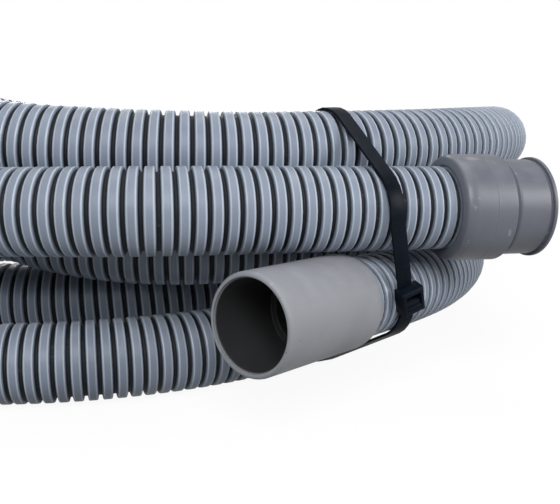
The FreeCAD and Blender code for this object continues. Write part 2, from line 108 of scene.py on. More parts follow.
@dataclass
class HoseRoute:
    """The line of the hose: radius and height of its axis at the right, back, left and front of each turn."""

    centre: Vector = field(default_factory=lambda: Vector((0.0208, 0.0050, 0.0)))
    turns: tuple[tuple[tuple[float, float], ...], ...] = (
        ((0.1970, 0.0460), (0.2045, 0.0272), (0.2680, 0.0197), (0.1705, 0.0215)),
        ((0.1400, 0.0226), (0.1365, 0.0209), (0.2035, 0.0410), (0.1250, 0.0430)),
        ((0.1365, 0.0670), (0.1650, 0.0515), (0.1480, 0.1180), (0.1495, 0.0760)),
        ((0.1840, 0.0890), (0.1810, 0.0975), (0.2075, 0.1425), (0.1710, 0.1255)),
        ((0.2260, 0.1195), (0.2220, 0.0820), (0.2190, 0.0895), (0.2080, 0.1015)),
    )
    cuff_back: Vector = field(default_factory=lambda: Vector((0.1150, -0.1848, 0.0550)))
    cuff_way: Vector = field(default_factory=lambda: heading(50.3, -2.5))
    cuff_insert: float = 0.022
    socket_back: Vector = field(default_factory=lambda: Vector((0.1620, -0.1705, 0.0977)))
    socket_way: Vector = field(default_factory=lambda: heading(17.5, -1.9))
    socket_insert: float = 0.0195
    straight_run: float = 0.040
    points_per_turn: int = 16
    spline_steps: int = 24
    socket_lead: float = 1.4
    shifts: tuple[tuple[float, float], ...] = (
        (-0.0002, 0.0001), (-0.0001, -0.0001), (-0.0022, -0.0001), (-0.0030, 0.0002),
        (0.0003, 0.0), (-0.0003, -0.0001), (-0.0034, -0.0014), (-0.0048, -0.0014),
        (-0.0004, -0.0008), (0.0001, 0.0013), (0.0023, 0.0022), (0.0012, 0.0001),
        (-0.0004, -0.0011), (-0.0001, -0.0001), (0.0002, -0.0011), (-0.0018, -0.0011),
        (-0.0034, -0.0008), (0.0007, -0.0005), (0.0002, -0.0002), (-0.0002, 0.0002), (0.0, 0.0),
    )  # fmt: skip

    def polar(self, point: Vector, turn: int) -> tuple[float, float, float]:
        """A point's angle from the front, counted on by whole turns, its radius and its height.

        Args:
            point: The point, from the coil's centre.
            turn: Whole turns already made.

        Returns:
            Angle in radians, radius and height in metres.
        """
        angle = math.atan2(point.x, -point.y) + FULL_TURN * turn
        return angle, math.hypot(point.x, point.y), point.z

    def end_knot(self, point: Vector, way: Vector, turn: int) -> Knot:
        """The knot where the coil meets a straight end.

        Args:
            point: Where the straight run ends, from the coil's centre.
            way: The hose's direction there.
            turn: Whole turns already made.

        Returns:
            The knot, whose rates follow the direction.
        """
        angle, radius, height = self.polar(point, turn)
        outward = Vector((math.sin(angle), -math.cos(angle), 0.0))
        onward = Vector((math.cos(angle), math.sin(angle), 0.0))
        rate = radius / way.dot(onward)
        return Knot(angle, radius, height, way.dot(outward) * rate, way.z * rate)

    def knots(self) -> list[Knot]:
        """The coil's knots.

        Returns:
            The knots in order: one at each straight end and one at each quarter turn.
        """
        places = [self.polar(self.cuff_back, 0)]
        for number, (radius, height) in enumerate(quarter for turn in self.turns for quarter in turn):
            places.append(((number + 1) * FULL_TURN / 4, radius, height))
        places.append(self.polar(self.socket_back, len(self.turns)))
        knots = [self.end_knot(self.cuff_back + self.cuff_way * self.straight_run, self.cuff_way, 0)]
        for before, here, after in zip(places, places[1:], places[2:]):
            span = after[0] - before[0]
            knots.append(Knot(*here, (after[1] - before[1]) / span, (after[2] - before[2]) / span))
        last = self.socket_back - self.socket_way * self.straight_run
        knots.append(self.end_knot(last, self.socket_way, len(self.turns)))
        return knots

    def place(self, knots: list[Knot], angle: float) -> Vector:
        """A point of the coil, with its quarter's shift at its full between two knots and nothing at them.

        Args:
            knots: The coil's knots in order.
            angle: The angle in radians, counted on through the turns.

        Returns:
            The point.
        """
        radius, height = between(knots, angle)
        quarter, share = divmod(angle / (FULL_TURN / 4), 1.0)
        out, up = self.shifts[int(quarter)]
        weight = math.sin(math.pi * share) ** 2
        spoke = Vector((math.sin(angle), -math.cos(angle), 0.0))
        return self.centre + spoke * (radius + out * weight) + UP * (height + up * weight)

    def controls(self) -> list[Vector]:
        """The control points of the hose's line.

        Returns:
            The points in order: two straight ends, and between them the coil's turns by a loop, each point a
            little outside the coil's line because the spline cuts inside its control points.
        """
        knots = self.knots()
        span = knots[-1].angle - knots[0].angle
        steps = round(span * self.points_per_turn / FULL_TURN)
        step = span / steps
        cuff_back, socket_back = self.centre + self.cuff_back, self.centre + self.socket_back
        lead = knots[0].radius * math.tan(step / 2)
        points = [
            cuff_back - self.cuff_way * self.cuff_insert,
            cuff_back + self.cuff_way * (self.straight_run - lead),
            cuff_back + self.cuff_way * (self.straight_run + lead),
        ]
        for number in range(1, steps - 1):
            angle = knots[0].angle + (number + 0.5) * step
            before, here, after = (self.place(knots, angle + turn) for turn in (-step, 0.0, step))
            points.append(here - (before - here * 2 + after) / 8)
        lead = knots[-1].radius * math.tan(step / 2) * self.socket_lead
        points += [
            socket_back - self.socket_way * (self.straight_run + lead),
            socket_back - self.socket_way * (self.straight_run - lead),
            socket_back + self.socket_way * self.socket_insert,
        ]
        return points

    def line(self) -> np.ndarray:
        """The hose's line, read from a curve with no bevel.

        Returns:
            The points of the NURBS spline that the control points shape, one row each.
        """
        controls = self.controls()
        curve = bpy.data.curves.new("hose_line", "CURVE")
        curve.dimensions = "3D"
        spline = curve.splines.new("NURBS")
        spline.points.add(len(controls) - 1)
        for point, place in zip(spline.points, controls):
            point.co = (*place, 1.0)
        spline.order_u = 3
        spline.use_endpoint_u = True
        spline.resolution_u = self.spline_steps
        holder = linked("hose_line", curve)
        read = bpy.data.meshes.new_from_object(holder)
        points = np.array([vertex.co[:] for vertex in read.vertices])
        bpy.data.objects.remove(holder)
        bpy.data.curves.remove(curve)
        bpy.data.meshes.remove(read)
        return points


def between(knots: list[Knot], angle: float) -> tuple[float, float]:
    """Radius and height of the coil's line at an angle, eased between the knots on either side.

    Args:
        knots: The coil's knots in order.
        angle: The angle in radians, counted on through the turns.

    Returns:
        Radius and height in metres.
    """
    index = max(0, min(sum(knot.angle < angle for knot in knots) - 1, len(knots) - 2))
    low, high = knots[index], knots[index + 1]
    span = high.angle - low.angle
    share = (angle - low.angle) / span
    start, end = (1 + 2 * share) * (1 - share) ** 2, share * share * (3 - 2 * share)
    leave, reach = share * (1 - share) ** 2 * span, -share * share * (1 - share) * span
    radius = start * low.radius + end * high.radius + leave * low.widening + reach * high.widening
    height = start * low.height + end * high.height + leave * low.climb + reach * high.climb
    return radius, height


class Line:
    """A smooth line given by close points, read by distance from its start."""

    def __init__(self, points: np.ndarray) -> None:
        """Measures the line.

        Args:
            points: The line's points, one row each.
        """
        self.points = points
        steps = np.linalg.norm(np.diff(points, axis=0), axis=1)
        self.distances = np.concatenate([[0.0], np.cumsum(steps)])
        self.length = float(self.distances[-1])

    def at(self, distances: np.ndarray) -> np.ndarray:
        """Points at distances along the line."""
        return np.stack([np.interp(distances, self.distances, self.points[:, axis]) for axis in range(3)], 1)

    def frames(self, distances: np.ndarray, reach: float = 0.003) -> tuple[np.ndarray, np.ndarray, np.ndarray]:
        """Points along the line with the two directions across it.

        Args:
            distances: Distances from the line's start.
            reach: How far to either side the line's direction is measured.

        Returns:
            Points, the most upright direction across the line, and the direction square to both.
        """
        ahead = self.at(np.minimum(distances + reach, self.length)) - self.at(np.maximum(distances - reach, 0))
        ahead /= np.linalg.norm(ahead, axis=1, keepdims=True)
        upright = np.array(UP) - ahead * ahead[:, 2:3]
        upright /= np.linalg.norm(upright, axis=1, keepdims=True)
        return self.at(distances), upright, np.cross(ahead, upright)


def set_points(mesh: bpy.types.Mesh, name: str, values: np.ndarray) -> None:
    """Writes a value or a vector for each point of a mesh, for its material to read.

    Args:
        mesh: The mesh.
        name: The attribute's name.
        values: One number or one row of three for each point.
    """
    vector = values.ndim == 2
    attribute = mesh.attributes.new(name, "FLOAT_VECTOR" if vector else "FLOAT", "POINT")
    attribute.data.foreach_set("vector" if vector else "value", values.astype(np.float32).ravel())


def skin(name: str, points: np.ndarray, columns: int) -> bpy.types.Mesh:
    """A smooth shaded closed skin over points that lie in rings, the last of which joins the first.

    Args:
        name: The mesh's name.
        points: The points, ring by ring.
        columns: Points in each ring.

    Returns:
        The mesh.
    """
    row, column = np.meshgrid(np.arange(len(points) // columns), np.arange(columns), indexing="ij")
    onward, beside = (row + 1) % len(row) * columns, (column + 1) % columns
    row = row * columns
    faces = np.stack([row + column, row + beside, onward + beside, onward + column], -1).reshape(-1, 4)
    mesh = bpy.data.meshes.new(name)
    mesh.from_pydata(points.tolist(), [], faces.tolist())
    mesh.polygons.foreach_set("use_smooth", np.ones(len(mesh.polygons), dtype=bool))
    mesh.update()
    return mesh


@dataclass
class SubAssembly:
    """Pieces that are built together and dressed by their material slots."""

    pieces: list[tuple[bpy.types.Object, Slot]] = field(default_factory=list, init=False)

    def add(self, name: str, mesh: bpy.types.Mesh, body: Body, slot: Slot, *nodes: str) -> bpy.types.Object:
        """Makes a mesh a piece of the object.

        Args:
            name: The piece's name.
            mesh: Its mesh, in the row's frame.
            body: The body that it moves with.
            slot: The material slot that it takes its finish from.
            nodes: The nodes that it replaces.

        Returns:
            The new piece.
        """
        piece = linked(name, mesh)
        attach(piece, body.value)
        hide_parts(*nodes)
        self.pieces.append((piece, slot))
        return piece

    def dress(self, materials: dict[Slot, bpy.types.Material]) -> None:
        """Gives each piece its slot's material, and reports the piece.

        Args:
            materials: Each slot's material.
        """
        for piece, slot in self.pieces:
            piece.data.materials.clear()
            piece.data.materials.append(materials[slot])
            log.info("%s: %d faces", piece.name, len(piece.data.polygons))


@dataclass
class RibbedHose(SubAssembly):
    """The corrugated hose, one unbroken wall along the whole line."""

    outer: float = 0.0200
    root: float = 0.0175
    bore: float = 0.0160
    pitch: float = 0.0068
    segments: int = 30
    bore_step: float = 0.012
    floor_gap: float = 0.0001
    shoulder_lean: float = 10.0
    shoulder_depth: float = 0.05
    rib: tuple[tuple[float, float, float], ...] = (
        (0.115, 0.00, -35.0),
        (0.148, 0.62, -76.0),
        (0.182, 0.90, -54.0),
        (0.245, 1.00, -26.0),
        (0.330, 1.00, 0.0),
        (0.670, 1.00, 0.0),
        (0.755, 1.00, 26.0),
        (0.818, 0.90, 54.0),
        (0.852, 0.62, 76.0),
        (0.885, 0.00, 35.0),
    )

    def walls(self, line: Line) -> np.ndarray:
        """The wall's outline along the line, out over the ribs and back through the bore.

        Args:
            line: The hose's line.

        Returns:
            For each ring its distance, radius, depth in a groove from 0 to 1, and how far its surface leans
            from facing straight out, in radians.
        """
        count = round(line.length / self.pitch)
        shares, heights, leans = np.array(self.rib).T
        out = np.stack(
            [
                (np.arange(count)[:, None] + shares[None, :]).ravel() * (line.length / count),
                np.tile(self.root + heights * (self.outer - self.root), count),
                np.tile(1.0 - heights, count),
                np.tile(np.radians(leans), count),
            ],
            1,
        )
        ends = np.array([[distance, self.root, 1.0, 0.0] for distance in (0.0, line.length)])
        far = np.linspace(line.length, 0.0, round(line.length / self.bore_step))
        back = np.stack([far, np.full(len(far), self.bore), np.ones(len(far)), np.full(len(far), math.pi)], 1)
        return np.concatenate([ends[:1], out, ends[1:], back])

    def build(self, line: Line) -> bpy.types.Object:
        """Builds the hose.

        Args:
            line: The hose's line.

        Returns:
            The hose.
        """
        along, radii, groove, lean = self.walls(line).T
        centres, upright, across = line.frames(along)
        angles = np.arange(self.segments) * (FULL_TURN / self.segments)
        cosines, sines = np.cos(angles), np.sin(angles)
        spokes = upright[:, None, :] * cosines[None, :, None] + across[:, None, :] * sines[None, :, None]
        points = (centres[:, None, :] + spokes * radii[:, None, None]).reshape(-1, 3)
        points[:, 2] = np.maximum(points[:, 2], self.floor_gap)
        mesh = skin("ribbed_hose", points, self.segments)
        # Rib shoulders, where the hose's material lays a painted highlight; the groove depth sets its painted
        # shade and dirt.
        shoulder_highlight = (np.abs(np.degrees(lean)) > self.shoulder_lean) & (groove < self.shoulder_depth)
        for name, values in (("groove", groove), ("edge", shoulder_highlight.astype(float))):
            set_points(mesh, name, np.repeat(values, self.segments))
        sideways = [np.tile(shares, len(along)) * self.outer for shares in (cosines, sines)]
        set_points(mesh, "place", np.stack([np.repeat(along, self.segments), *sideways], 1))
        onward = np.cross(upright, across)
        facing = spokes * np.cos(lean)[:, None, None] + (onward * np.sin(lean)[:, None])[:, None, :]
        mesh.normals_split_custom_set_from_vertices(facing.reshape(-1, 3).tolist())
        nodes = ("hose_cuff_end", "hose_coil", "hose_socket_end")
        return self.add("ribbed_hose", mesh, Body.HOSE, Slot.HOSE, *nodes)


@dataclass(frozen=True)
class Corner:
    """A corner of a turned outline: place along the axis, radius, and how far back its rounding starts."""

    along: float
    radius: float
    rounding: float = 0.0


def rounded(
    corners: list[Corner], support: float = 0.0006, steps: int = 4, most: float = 0.4, room: float = 0.48
) -> tuple[np.ndarray, np.ndarray]:
    """Rounds a closed outline's corners and holds the flats between them with a point near each end.

    Args:
        corners: The outline's corners in order.
        support: How far beyond a rounding its holding point lies.
        steps: Points along one rounding.
        most: The largest share of a side that a rounding takes.
        room: The share of a side that a rounding and its holding point fit in, or the point is left out.

    Returns:
        Points of (along, radius), and how near each is to an edge, 0 or 1.
    """
    points, edges = [], []
    for number, corner in enumerate(corners):
        here = np.array([corner.along, corner.radius])
        rims = []
        for other in (corners[number - 1], corners[(number + 1) % len(corners)]):
            gap = np.array([other.along, other.radius]) - here
            length = float(np.hypot(*gap))
            cut = min(corner.rounding, most * length)
            held = cut + support < room * length
            rims.append((here + gap / length * cut, here + gap / length * (cut + support) if held else None))
        (start, before), (end, after) = rims
        if before is not None:
            points.append(before)
            edges.append(0.0)
        if corner.rounding:
            for step in range(steps):
                share = step / (steps - 1)
                points.append((1 - share) ** 2 * start + 2 * share * (1 - share) * here + share * share * end)
                edges.append(1.0)
        else:
            points.append(here)
            edges.append(1.0)
        if after is not None:
            points.append(after)
            edges.append(0.0)
    return np.array(points), np.array(edges)


def turned(name: str, corners: list[Corner], origin: Vector, way: Vector, segments: int = 128) -> bpy.types.Mesh:
    """A turned solid from its outline.

    Args:
        name: The mesh's name.
        corners: The closed outline's corners.
        origin: Where the outline's axis starts.
        way: The direction of the axis.
        segments: Points round the axis.

    Returns:
        The mesh, whose points carry their place from the origin and their nearness to an edge.
    """
    outline, edges = rounded(corners)
    angles = np.arange(segments) * (FULL_TURN / segments)
    sideways = [np.outer(outline[:, 1], shares).ravel() for shares in (np.sin(angles), np.cos(angles))]
    local = np.stack([np.repeat(outline[:, 0], segments), *sideways], 1)
    side = UP.cross(way).normalized()
    axes = np.array([way, side, way.cross(side)])
    mesh = skin(name, np.array(origin) + local @ axes, segments)
    set_points(mesh, "place", local)
    set_points(mesh, "edge", np.repeat(edges, segments))
    bm = bmesh.new()
    bm.from_mesh(mesh)
    bmesh.ops.recalc_face_normals(bm, faces=bm.faces)
    bm.to_mesh(mesh)
    bm.free()
    return mesh


@dataclass
class PlainCuff(SubAssembly):
    """The light cuff that turns on the hose's end, and the flanged sleeve that holds it."""

    length: float = 0.0690
    outer: float = 0.0230
    pipe_bore: float = 0.0201
    stop: float = 0.0380
    stop_bore: float = 0.0170
    insert: float = 0.0220
    back_bore: float = 0.0203
    flange: float = 0.0213
    flange_thick: float = 0.0020
    gap: float = 0.0003
    sleeve: float = 0.0159
    sleeve_bore: float = 0.0144
    sleeve_length: float = 0.0200

    def cuff_outline(self) -> list[Corner]:
        """The cuff's closed outline, from its mouth.

        Returns:
            The corners in order.
        """
        flange_face = self.length - self.insert
        groove_from, groove_to = flange_face - self.flange_thick - self.gap, flange_face + self.gap
        return [
            Corner(0.0, self.pipe_bore + 0.0007, 0.0002),
            Corner(0.0, self.outer - 0.0011, 0.0004),
            Corner(0.0011, self.outer, 0.0005),
            Corner(self.length - 0.0050, self.outer, 0.0030),
            Corner(self.length - 0.0012, self.outer - 0.0006, 0.0018),
            Corner(self.length, self.back_bore + 0.0010, 0.0004),
            Corner(self.length, self.back_bore, 0.0002),
            Corner(groove_to, self.back_bore),
            Corner(groove_to, self.flange + self.gap),
            Corner(groove_from, self.flange + self.gap),
            Corner(groove_from, self.stop_bore, 0.0003),
            Corner(self.stop, self.stop_bore, 0.0003),
            Corner(self.stop, self.pipe_bore, 0.0003),
            Corner(0.0014, self.pipe_bore, 0.0002),
            Corner(0.0012, self.pipe_bore + 0.0007, 0.0002),
        ]

    def sleeve_outline(self) -> list[Corner]:
        """The sleeve's closed outline, with its flange before the hose's end.

        Returns:
            The corners in order.
        """
        return [
            Corner(-self.flange_thick, self.sleeve_bore, 0.0003),
            Corner(-self.flange_thick, self.flange, 0.0003),
            Corner(0.0, self.flange, 0.0002),
            Corner(0.0, self.sleeve),
            Corner(self.sleeve_length, self.sleeve, 0.0002),
            Corner(self.sleeve_length, self.sleeve_bore, 0.0002),
        ]

    def build(self, route: HoseRoute) -> None:
        """Builds the cuff and its sleeve.

        Args:
            route: The hose's route, which places them.
        """
        way = route.cuff_way
        mouth = route.centre + route.cuff_back - way * self.length
        hose_end = mouth + way * (self.length - self.insert)
        cuff = turned("plain_cuff", self.cuff_outline(), mouth, way)
        self.add("plain_cuff", cuff, Body.CUFF, Slot.CUFF, "end_cuff")
        sleeve = turned("swivel_sleeve", self.sleeve_outline(), hose_end, way, 64)
        self.add("swivel_sleeve", sleeve, Body.HOSE, Slot.SLEEVE, "cuff_swivel_sleeve")


@dataclass
class SwivelSocket(SubAssembly):
    """The dark end: collar, turning socket with its rim bead, and the lip seal in it."""

    length: float = 0.0490
    collar_length: float = 0.0270
    collar: float = 0.0258
    collar_back: float = 0.0212
    collar_bore: float = 0.0201
    insert: float = 0.0195
    gap: float = 0.0003
    neck: float = 0.0220
    neck_to: float = 0.0286
    keeper: float = 0.0232
    keeper_thick: float = 0.0027
    cylinder: float = 0.0234
    cylinder_from: float = 0.0300
    cylinder_to: float = 0.0458
    rim: float = 0.0246
    rim_from: float = 0.0472
    rim_groove: float = 0.0229
    pipe_bore: float = 0.0201
    stop: float = 0.0260
    stop_bore: float = 0.0170
    seal_from: float = 0.0400
    seal_width: float = 0.0045
    seal_groove: float = 0.0222
    seal_lip: float = 0.02015
    parting: float = 0.0165

    def collar_outline(self) -> list[Corner]:
        """The collar's closed outline, from its back.

        Returns:
            The corners in order.
        """
        lip_from = self.insert + 0.0035
        return [
            Corner(0.0, self.collar_bore, 0.0002),
            Corner(0.0, self.collar_back, 0.0007),
            Corner(0.0010, self.collar - 0.0011, 0.0010),
            Corner(0.0042, self.collar, 0.0018),
            Corner(self.parting - 0.0003, self.collar, 0.0001),
            Corner(self.parting, self.collar + 0.00013, 0.0001),
            Corner(self.parting + 0.0003, self.collar, 0.0001),
            Corner(self.collar_length - 0.0007, self.collar, 0.0003),
            Corner(self.collar_length, self.collar - 0.0007, 0.0003),
            Corner(self.collar_length, self.neck + self.gap, 0.0002),
            Corner(lip_from, self.neck + self.gap),
            Corner(lip_from, self.keeper + self.gap),
            Corner(self.insert, self.keeper + self.gap),
            Corner(self.insert, self.collar_bore),
        ]

    def socket_outline(self) -> list[Corner]:
        """The socket's closed outline, from its keeper flange.

        Returns:
            The corners in order.
        """
        keeper_from = self.insert + 0.0004
        keeper_to = keeper_from + self.keeper_thick
        seal_to = self.seal_from + self.seal_width
        return [
            Corner(keeper_from, self.stop_bore, 0.0002),
            Corner(keeper_from, self.keeper, 0.0003),
            Corner(keeper_to, self.keeper, 0.0003),
            Corner(keeper_to, self.neck, 0.0002),
            Corner(self.neck_to, self.neck, 0.0003),
            Corner(self.cylinder_from, self.cylinder, 0.0005),
            Corner(self.cylinder_to, self.cylinder, 0.0002),
            Corner(self.cylinder_to + 0.0002, self.rim_groove, 0.0001),
            Corner(self.rim_from, self.rim_groove, 0.0001),
            Corner(self.rim_from, self.rim, 0.0005),
            Corner(self.length, self.rim, 0.0006),
            Corner(self.length, self.pipe_bore + 0.0008, 0.0003),
            Corner(self.length - 0.0010, self.pipe_bore, 0.0003),
            Corner(seal_to, self.pipe_bore, 0.0001),
            Corner(seal_to, self.seal_groove),
            Corner(self.seal_from, self.seal_groove),
            Corner(self.seal_from, self.pipe_bore, 0.0001),
            Corner(self.stop, self.pipe_bore, 0.0003),
            Corner(self.stop, self.stop_bore, 0.0003),
        ]

    def seal_outline(self) -> list[Corner]:
        """The seal's closed outline, with its lip towards the bore.

        Returns:
            The corners in order.
        """
        start, end = self.seal_from + 0.0001, self.seal_from + self.seal_width - 0.0001
        middle = (start + end) / 2
        return [
            Corner(start, self.seal_groove - 0.0001, 0.0002),
            Corner(end, self.seal_groove - 0.0001, 0.0002),
            Corner(end, self.pipe_bore + 0.0005, 0.0003),
            Corner(middle + 0.0006, self.pipe_bore + 0.0004, 0.0003),
            Corner(middle - 0.0003, self.seal_lip, 0.0003),
            Corner(middle - 0.0012, self.seal_lip, 0.0003),
            Corner(start, self.pipe_bore + 0.0003, 0.0003),
        ]

    def build(self, route: HoseRoute) -> list[bpy.types.Object]:
        """Builds the collar, the socket and the seal.

        Args:
            route: The hose's route, which places them.

        Returns:
            The three pieces.
        """
        back, way = route.centre + route.socket_back, route.socket_way
        collar = turned("collar", self.collar_outline(), back, way)
        socket = turned("socket", self.socket_outline(), back, way)
        seal = turned("lip_seal", self.seal_outline(), back, way, 96)
        return [
            self.add("collar", collar, Body.HOSE, Slot.SOCKET, "socket_collar"),
            self.add("socket", socket, Body.SOCKET, Slot.SOCKET, "socket_body"),
            self.add("lip_seal", seal, Body.SOCKET, Slot.SEAL, "socket_seal"),
        ]


@dataclass
class CableTie(SubAssembly):
    """One cable tie, whose strap, head and pawl are softened copies of its solids."""

    name: str
    pawl_body: Body
    strap_round: float = 0.00028
    head_round: float = 0.00045
    pawl_round: float = 0.00015
    merge: float = 1e-6
    flat_angle: float = math.radians(0.5)
    round_angle: float = math.radians(38)
    shade_angle: float = math.radians(34)

    def soften(self, part: str, radius: float, body: Body) -> None:
        """Adds a copy of a solid with its sharp edges rounded, in the solid's place.

        Args:
            part: The node's name without the tie's.
            radius: The rounding's width.
            body: The body that it moves with.
        """
        node = f"{self.name}_{part}"
        bm = bmesh.new()
        bm.from_mesh(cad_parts[node].data)
        bmesh.ops.remove_doubles(bm, verts=bm.verts, dist=self.merge)
        bmesh.ops.dissolve_limit(bm, angle_limit=self.flat_angle, verts=bm.verts, edges=bm.edges)
        sharp = [edge for edge in bm.edges if edge.is_manifold and edge.calc_face_angle(0.0) > self.round_angle]
        bmesh.ops.bevel(
            bm, geom=sharp, offset=radius, segments=2, profile=0.6, affect="EDGES", clamp_overlap=True
        )
        mesh = bpy.data.meshes.new(f"{node}_piece")
        bm.to_mesh(mesh)
        bm.free()
        mesh.shade_smooth()
        mesh.set_sharp_from_angle(angle=self.shade_angle)
        self.add(f"{node}_piece", mesh, body, Slot.TIE, node)

    def build(self) -> None:
        """Builds the strap, the head and the pawl."""
        self.soften("strap", self.strap_round, Body.HOSE)
        self.soften("head", self.head_round, Body.HOSE)
        self.soften("pawl", self.pawl_round, self.pawl_body)


class Nodes:
    """Short calls for adding and joining the nodes of one tree."""

    def __init__(self, tree: bpy.types.NodeTree) -> None:
        """Keeps the tree."""
        self.tree = tree

    def add(self, kind: str, **inputs: object) -> bpy.types.Node:
        """Adds a node and fills its inputs.

        Args:
            kind: The node's type after ShaderNode.
            inputs: Values or output sockets for inputs, with _ for a space, or i0, i1 for a place.

        Returns:
            The node.
        """
        node = self.tree.nodes.new(f"ShaderNode{kind}")
        for name, value in inputs.items():
            place = name[1:]
            socket = node.inputs[int(place) if name[0] == "i" and place.isdigit() else name.replace("_", " ")]
            self.feed(value, socket)
        return node

    def feed(self, value: object, socket: bpy.types.NodeSocket) -> None:
        """Joins an output to a socket, or sets the socket's own value.

        Args:
            value: The output or the value.
            socket: The input that takes it.
        """
        if isinstance(value, bpy.types.NodeSocket):
            self.tree.links.new(value, socket)
        else:
            socket.default_value = value

    def find(self, kind: str) -> bpy.types.Node:
        """The tree's own node of a kind."""
        return next(node for node in self.tree.nodes if node.type == kind)

    def operate(self, kind: str, operation: str, *values: object) -> bpy.types.Node:
        """Adds a maths node of a kind.

        Args:
            kind: Math or VectorMath.
            operation: What it works out.
            values: Values or outputs for its inputs in order.

        Returns:
            The node.
        """
        node = self.add(kind)
        node.operation = operation
        for value, socket in zip(values, node.inputs):
            self.feed(value, socket)
        return node

    def math(self, operation: str, *values: object) -> bpy.types.NodeSocket:
        """The output of a maths node."""
        return self.operate("Math", operation, *values).outputs[0]

    def times(self, first: object, *others: object) -> object:
        """The product of all the values."""
        for other in others:
            first = self.math("MULTIPLY", first, other)
        return first

    def vector(self, operation: str, *values: object) -> bpy.types.NodeSocket:
        """The vector that a vector maths node works out."""
        return self.operate("VectorMath", operation, *values).outputs["Vector"]

    def length(self, vector: object) -> bpy.types.NodeSocket:
        """A vector's length."""
        return self.operate("VectorMath", "LENGTH", vector).outputs["Value"]

    def ramp(
        self, value: object, low: float, high: float, to_low: float = 0.0, to_high: float = 1.0
    ) -> bpy.types.NodeSocket:
        """A value eased from one range to another and held outside it.

        Args:
            value: The value.
            low: The range's start.
            high: The range's end.
            to_low: What the start becomes.
            to_high: What the end becomes.

        Returns:
            The eased value.
        """
        node = self.add("MapRange")
        node.interpolation_type = "SMOOTHSTEP"
        for socket, given in zip(node.inputs, (value, low, high, to_low, to_high)):
            self.feed(given, socket)
        return node.outputs[0]

    def mix(self, share: object, first: object, second: object) -> bpy.types.NodeSocket:
        """One colour mixed into another.

        Args:
            share: How much of the second.
            first: The colour below.
            second: The colour above.

        Returns:
            The mixed colour.
        """
        node = self.add("Mix")
        node.data_type = "RGBA"
        for name, value in (("Factor", share), ("A", first), ("B", second)):
            socket = next(s for s in node.inputs if s.name == name and s.enabled and s.type in ("VALUE", "RGBA"))
            self.feed(value, socket)
        return next(s for s in node.outputs if s.enabled)

    def noise(self, place: object, scale: object, detail: float = 2.0) -> bpy.types.NodeSocket:
        """The value of a noise at a place."""
        return self.add("TexNoise", Vector=place, Scale=scale, Detail=detail).outputs["Fac"]


class Effect(Enum):
    """The effects that more than one finish uses."""

    GRAIN = "moulded_grain"
    WEAR = "edge_wear"
    DUST = "settled_dust"
    SCUFF = "scuffs"
    SPOT = "spot"


